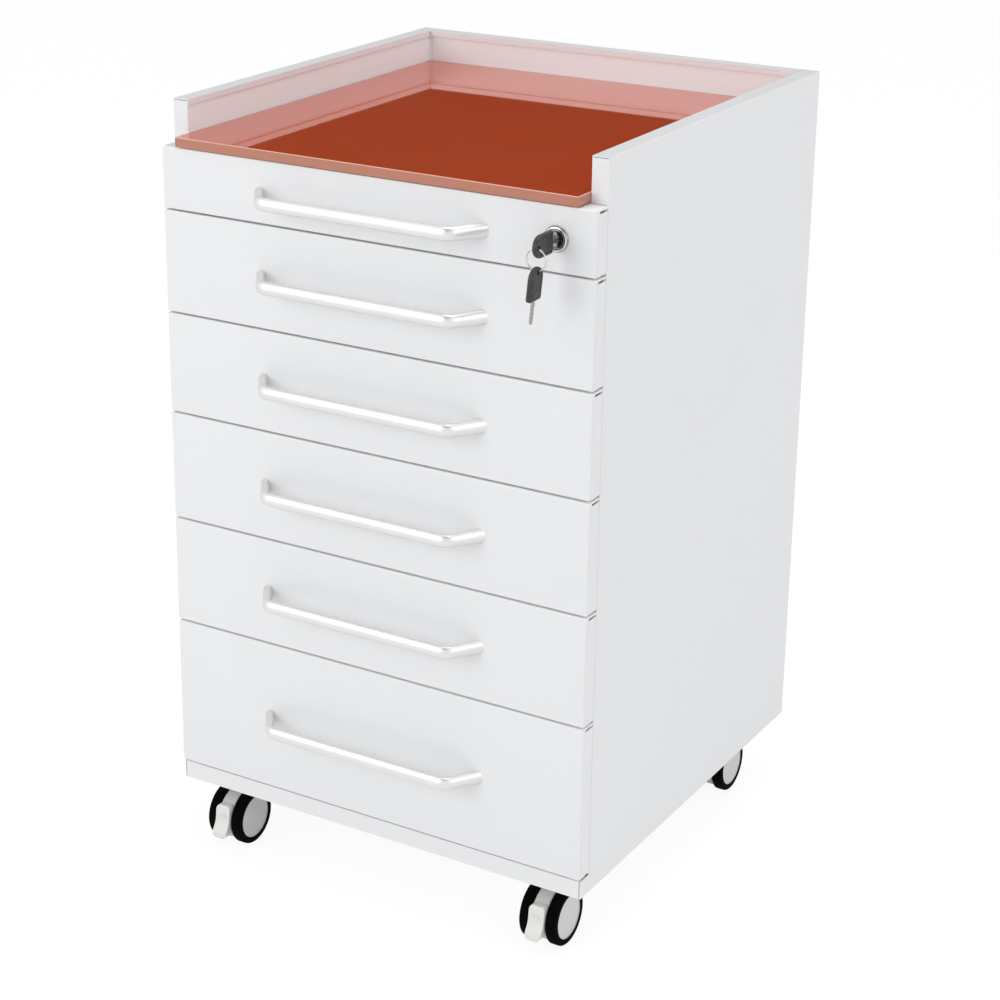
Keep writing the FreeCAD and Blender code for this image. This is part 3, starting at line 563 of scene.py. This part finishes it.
def makeLock():
    # Escutcheon with a bevel, a groove and an inner bead, turned about the lock axis
    rows = revolved(lockShape["barrel"], lockFront, (0, -1, 0), (1, 0, 0), lockShape["steps"])
    addPiece("lockEscutcheon", [(rows, True, True, False)], "drawer_1", lockPaintedRingMetal,
             ["lock_barrel"], sharpAbove=30)


lockPaintedRingMetal = makeLockMetal()
# the plug shares the painted reflection rings and groove shade
nodes["lock_plug"].data.materials[0] = lockPaintedRingMetal
makeLock()


# ---- keys: head from its blade end along +z, plate lying in the y-z plane
# chamferShares: how near the hole two rows lie between it and the border
# pads: (bottom, top, width) of each raised pad
keyShape = {
    "length": 33, "height": 22, "thickness": 5, "corner": 3, "hole": 2.4, "holeInset": 5,
    "holeChamfer": 0.3, "rim": 1.5, "border": 2.6, "dish": 0.5, "dishSlope": 0.5,
    "chamferShares": (0.96, 0.80), "outlineSteps": 16, "rimSteps": 4,
    "pads": [(3.2, 10.4, 13), (11.8, 22.0, 14)], "padCorner": 1.2, "padBevel": 0.3,
    "padRoot": 0.2, "padRise": 0.05, "spareLean": 5.5,
    "bladeLength": 23, "bladeHeight": 4.8, "bladeThickness": 1.7, "bladeRoot": 4,
    "bladeRows": 60, "notchDepth": 0.9, "notchPitch": 1.55, "notchStart": 4,
    "grooveShare": 0.45, "tipLength": 3.0, "tipShare": 0.35}


def keyHeadRows():
    # Outline and hole are both centre + radius * (cos, sin) of one angle. Rows go out from the
    # hole over the front, round the rim and back: a raised border round a dished field.
    s = keyShape
    half, top = s["height"] / 2, s["thickness"] / 2
    shoulder, side = s["length"] - half, half - s["corner"]
    outline, normals = arcOutline([(0, shoulder, half, 0, 180),
                                   (-side, s["corner"], s["corner"], 180, 270),
                                   (side, s["corner"], s["corner"], 270, 360)],
                                  s["outlineSteps"])
    hole = np.array([0, s["length"] - s["holeInset"]]) + s["hole"] * normals
    border = outline - s["border"] * normals
    plans = [(hole, top - s["holeChamfer"])]
    plans += [(hole * share + border * (1 - share), top) for share in s["chamferShares"]]
    plans += [(outline - (s["border"] + s["dishSlope"]) * normals, top - s["dish"]),
              (border, top)]
    for turn in np.linspace(0, math.pi / 2, s["rimSteps"]):
        inset = s["rim"] * (1 - math.sin(turn))
        plans.append((outline - inset * normals, top - s["rim"] * (1 - math.cos(turn))))
    front = np.array([np.concatenate([np.full((len(flat), 1), height), flat], 1)
                      for flat, height in plans])
    return np.concatenate([front, front[::-1] * [-1, 1, 1]])


def keyPads():
    # Two raised pads on each face, parted by a groove
    s = keyShape
    face = s["thickness"] / 2
    levels = [(0, face - s["dish"] - s["padRoot"]), (0, face - s["padRoot"]),
              (s["padBevel"], face + s["padRise"])]
    pads = []
    for bottom, top, width in s["pads"]:
        outline = roundedBox(width, top - bottom, s["padCorner"], 4)
        for side in (-1, 1):
            rows = slab(outline, levels)
            middle = (bottom + top) / 2
            pads.append(np.stack([side * rows[..., 2], rows[..., 0], rows[..., 1] + middle], -1))
    return pads


def keyBladeRows():
    # Blade section: a flat bar with a milled groove on each side, notched along its upper edge
    # wherever sin(pitch * distance) is positive, and narrowed towards its tip
    s = keyShape
    down = np.linspace(s["bladeRoot"], -s["bladeLength"], s["bladeRows"])
    half, thick = s["bladeHeight"] / 2, s["bladeThickness"] / 2
    cut = s["notchDepth"] * (0.5 + 0.5 * np.sign(np.sin(down * s["notchPitch"])))
    cut = cut * (down < -s["notchStart"]) * (down > s["tipLength"] - s["bladeLength"])
    tip = np.clip((down + s["bladeLength"]) / s["tipLength"], 0, 1)
    lower = -half * (s["tipShare"] + (1 - s["tipShare"]) * tip)
    upper = -lower - cut
    groove = s["grooveShare"] * thick
    section = np.array([(thick, 0.0), (thick, 0.3), (groove, 0.36), (groove, 0.52),
                        (thick, 0.58), (thick, 1.0), (-thick, 1.0), (-thick, 0.75),
                        (-groove, 0.69), (-groove, 0.53), (-thick, 0.47), (-thick, 0.0)])
    across = lower[:, None] + (upper - lower)[:, None] * section[None, :, 1]
    return np.stack([np.broadcast_to(section[:, 0], across.shape), across,
                     np.broadcast_to(down[:, None], across.shape)], -1)


def makeKey(label, replaces, body, origin, alongAxis, acrossAxis):
    axes = (np.cross(acrossAxis, alongAxis), acrossAxis, alongAxis)
    head = placed(keyHeadRows(), origin, *axes)
    blade = placed(keyBladeRows(), origin, *axes)
    pads = [(placed(pad, origin, *axes), False, True, True) for pad in keyPads()]
    addPiece(label + "Head", [(head, True, True, False)] + pads, body, keyPlastic,
             replaces, sharpAbove=30)
    addPiece(label + "Blade", [(blade, False, True, True)], body, bladeSteel,
             sharpAbove=20)


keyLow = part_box("key")[0]
keyRootY = keyLow.y / mm + keyShape["length"]
makeKey("insertedKey", ["key"], "key", (lockAxis[0], keyRootY, lockAxis[2]),
        (0, -1, 0), (0, 0, 1))

ringShape = {"radius": 10.3, "wire": 0.7, "drop": 1.1, "around": 96, "across": 14}


def makeSpareKey():
    # Hangs by its hole from the bottom of the ring, leaning a little to one side
    lean = math.radians(keyShape["spareLean"])
    upward = np.array([math.sin(lean), 0, math.cos(lean)])
    hinge = centreOf("key_ring") - [0, 0, ringShape["radius"] + ringShape["drop"]]
    origin = hinge - (keyShape["length"] - keyShape["holeInset"]) * upward
    makeKey("spareKey", (), "key_ring", origin, upward, (0, 1, 0))


def makeKeyRing():
    # Torus: the wire's circle turned about the ring's axis
    turn = np.linspace(0, 2 * math.pi, ringShape["across"], endpoint=False)
    wire = np.stack([ringShape["wire"] * np.sin(turn),
                     ringShape["radius"] + ringShape["wire"] * np.cos(turn)], 1)
    rows = revolved(wire, centreOf("key_ring"), (0, 1, 0), (1, 0, 0), ringShape["around"])
    addPiece("keyRing", [(rows, True, True, False)], "key_ring", nickel,
             ["key_ring"], sharpAbove=60)


makeKeyRing()
makeSpareKey()
print("lock and keys made")


# ---- castors
castorShape = {
    "wheelRadius": 31.5, "inner": 9.4, "width": 12, "shoulder": 2.4, "shoulderSteps": 7,
    "hubRadius": 24.1, "hubDome": 1.0, "domeSteps": 12, "boss": 7.5, "bore": 4.05,
    "boreEnd": 18.3, "cupFloor": 5, "rim": 3.5, "rimSetback": 0.5, "rimBevel": (0.1, 0.25),
    "stepDepth": 1.1, "stepRadii": (0.45, 0.75), "capGap": 0.9, "steps": 96}


def tyreProfile(side):
    # Tread section with rounded shoulders, from the hub out and back
    s = castorShape
    shoulder = s["shoulder"]
    height = s["wheelRadius"] - shoulder
    section = arcOutline([(s["width"] - shoulder, height, shoulder, 0, 90),
                          (shoulder, height, shoulder, 90, 180)], s["shoulderSteps"])[0]
    inside = np.array([(0, s["hubRadius"]), (s["width"], s["hubRadius"])])
    profile = np.concatenate([section, inside])
    profile[:, 0] = side * (profile[:, 0] + s["inner"])
    return profile


def hubProfile(side):
    # Cup-shaped hub: inner boss and pocket, then the rim, a fine step and the domed cap,
    # which falls by the dome's height times the square of its share of the radius
    s = castorShape
    inner, hub = s["inner"], s["hubRadius"]
    outside = inner + s["width"]
    floor = outside - s["cupFloor"]
    rimEnd, step = outside - s["rimSetback"], outside - s["stepDepth"]
    radii = np.linspace(hub - s["capGap"], 0, s["domeSteps"])
    dome = outside - s["hubDome"] * (radii / hub) ** 2
    bevelOut, bevelIn = s["rimBevel"]
    cup = [(s["boreEnd"], 0), (s["boreEnd"], s["bore"]), (inner, s["bore"]),
           (inner, s["boss"]), (floor, s["boss"]), (floor, hub - s["rim"]),
           (inner, hub - s["rim"]), (inner, hub), (rimEnd, hub),
           (rimEnd + bevelOut, hub - bevelIn)]
    cup += [(step, hub - inset) for inset in s["stepRadii"]]
    profile = np.concatenate([cup, np.stack([dome, radii], 1)])
    profile[:, 0] *= side
    return profile


def makeWheel(castor, label, axleCentre, side):
    steps = castorShape["steps"]
    body = "%s_wheel_%s" % (castor, label)
    tyre = revolved(tyreProfile(side), axleCentre, (1, 0, 0), (0, 0, 1), steps)
    hub = revolved(hubProfile(side), axleCentre, (1, 0, 0), (0, 0, 1), steps)
    addPiece(body + "_tyre", [(tyre, True, True, False)], body, tyreRubber,
             [body], sharpAbove=40)
    addPiece(body + "_cap", [(hub, True, False, False)], body, hubPlastic,
             sharpAbove=30)


def makeCastor(castor):
    low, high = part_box(castor + "_hood")
    wheelLow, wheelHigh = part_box(castor + "_wheel_left")
    axle = ((low.x + high.x) / 2 / mm, (wheelLow.y + wheelHigh.y) / 2 / mm,
            castorShape["wheelRadius"])
    makeWheel(castor, "left", axle, -1)
    makeWheel(castor, "right", axle, 1)


for row in ("front", "rear"):
    for side in ("left", "right"):
        makeCastor("castor_%s_%s" % (row, side))
print("castors made")


# ---- floor, light and camera, in metres, watts and degrees
studio = {
    "floorSize": 60, "floorDrop": 0.0004, "floorShade": 0.88, "shadow": 0.14, "glow": 1.06,
    "sky": (0.66, 0.652, 0.675, 1), "ground": (0.53, 0.53, 0.52, 1),
    "horizon": (-0.3, 0.8), "lampTarget": (0, 0, 0.45)}
lamps = {
    "frontLamp": {"place": (-1.6, -3.6, 1.9), "size": 2.6, "power": 47},
    "sideLamp": {"place": (3.4, -0.5, 1.5), "size": 2.2, "power": 15},
    "topLamp": {"place": (0.5, 0.0, 3.1), "size": 1.8, "power": 20}}
darkCards = {
    "backCard": {"place": (-1.6, 3.4, 2.2), "size": (6.0, 3.0), "turn": 0, "lean": 0,
                 "shade": 0.03},
    "overheadCard": {"place": (0.67, -1.71, 2.32), "size": (1.2, 1.5), "turn": 21.4,
                     "lean": -45, "shade": 0.01}}


def seenDirectly(shader):
    # 1 for rays that show the background: from the camera, a mirror or glass
    rays = [shader.node("ShaderNodeLightPath", output=name) for name in
            ("Is Camera Ray", "Is Glossy Ray", "Is Transmission Ray")]
    return rays[0].larger(rays[1]).larger(rays[2])


def makeFloor():
    mesh = bpy.data.meshes.new("studioFloor")
    half, level = studio["floorSize"] / 2, -studio["floorDrop"]
    corners = [(-half, -half, level), (half, -half, level), (half, half, level),
               (-half, half, level)]
    mesh.from_pydata(corners, [], [(0, 1, 2, 3)])
    floor = addObject("studioFloor", mesh)
    material, s = newMaterial("palePaper")
    mesh.materials.append(material)
    paper = s.node("ShaderNodeBsdfDiffuse", inputs={"Color": grey(studio["floorShade"])})
    glow = s.node("ShaderNodeEmission", inputs={"Color": grey(1.0), "Strength": studio["glow"]})
    factor = seenDirectly(s) * (1 - studio["shadow"])
    blend = s.node("ShaderNodeMixShader", inputs={0: factor, 1: paper, 2: glow})
    s.node("ShaderNodeOutputMaterial", inputs={"Surface": blend})


def makeWorld():
    world = bpy.data.worlds.new("studioSky")
    bpy.context.scene.world = world
    s = Shader(world)
    direction = s.node("ShaderNodeTexCoord", output="Generated")
    height = s.node("ShaderNodeSeparateXYZ", inputs={0: direction}, output="Z")
    ambient = s.mixed(height.between(*studio["horizon"]), studio["ground"], studio["sky"])
    colour = s.mixed(seenDirectly(s), ambient, grey(1.0))
    sky = s.node("ShaderNodeBackground", inputs={"Color": colour, "Strength": 1.0})
    s.node("ShaderNodeOutputWorld", inputs={"Surface": sky})


def makeDarkCard(name, place, size, turn, lean, shade):
    # Something dark for the glass and the handles to mirror; only reflections see it
    mesh = bpy.data.meshes.new(name)
    x, z = size[0] / 2, size[1] / 2
    mesh.from_pydata([(-x, 0, -z), (x, 0, -z), (x, 0, z), (-x, 0, z)], [], [(0, 1, 2, 3)])
    card = addObject(name, mesh)
    card.location = place
    card.rotation_euler = (math.radians(lean), 0, math.radians(turn))
    card.visible_camera = card.visible_diffuse = card.visible_shadow = False
    material, s = newMaterial(name + "Felt")
    mesh.materials.append(material)
    felt = s.node("ShaderNodeBsdfDiffuse", inputs={"Color": grey(shade)})
    s.node("ShaderNodeOutputMaterial", inputs={"Surface": felt})


def addLamp(name, place, size, power):
    light = bpy.data.lights.new(name, "AREA")
    light.shape, light.size, light.energy = "DISK", size, power
    lamp = addObject(name, light)
    lamp.location = place
    lamp.rotation_mode = "QUATERNION"
    aim = Vector(studio["lampTarget"]) - Vector(place)
    lamp.rotation_quaternion = aim.to_track_quat("-Z", "Y")


cameraView = {
    "place": (1.21918, -2.09202, 1.32990), "yaw": 31.912, "pitch": -19.703, "roll": 0.121,
    "lens": 84.958, "sensor": 36, "shift": (0.07903, -0.06741)}


def makeCamera():
    data = bpy.data.cameras.new("productCamera")
    data.lens, data.sensor_width = cameraView["lens"], cameraView["sensor"]
    data.shift_x, data.shift_y = cameraView["shift"]
    camera = addObject("productCamera", data)
    yaw, pitch, roll = (math.radians(cameraView[key]) for key in ("yaw", "pitch", "roll"))
    turn = Matrix.Rotation(yaw, 4, "Z") @ Matrix.Rotation(math.pi / 2 + pitch, 4, "X")
    turn = turn @ Matrix.Rotation(roll, 4, "Z")
    camera.matrix_world = Matrix.Translation(cameraView["place"]) @ turn
    bpy.context.scene.camera = camera


makeFloor()
makeWorld()
for name, card in darkCards.items():
    makeDarkCard(name, **card)
for name, lamp in lamps.items():
    addLamp(name, **lamp)
makeCamera()
bpy.context.scene.view_settings.view_transform = "Standard"
print("studio made")
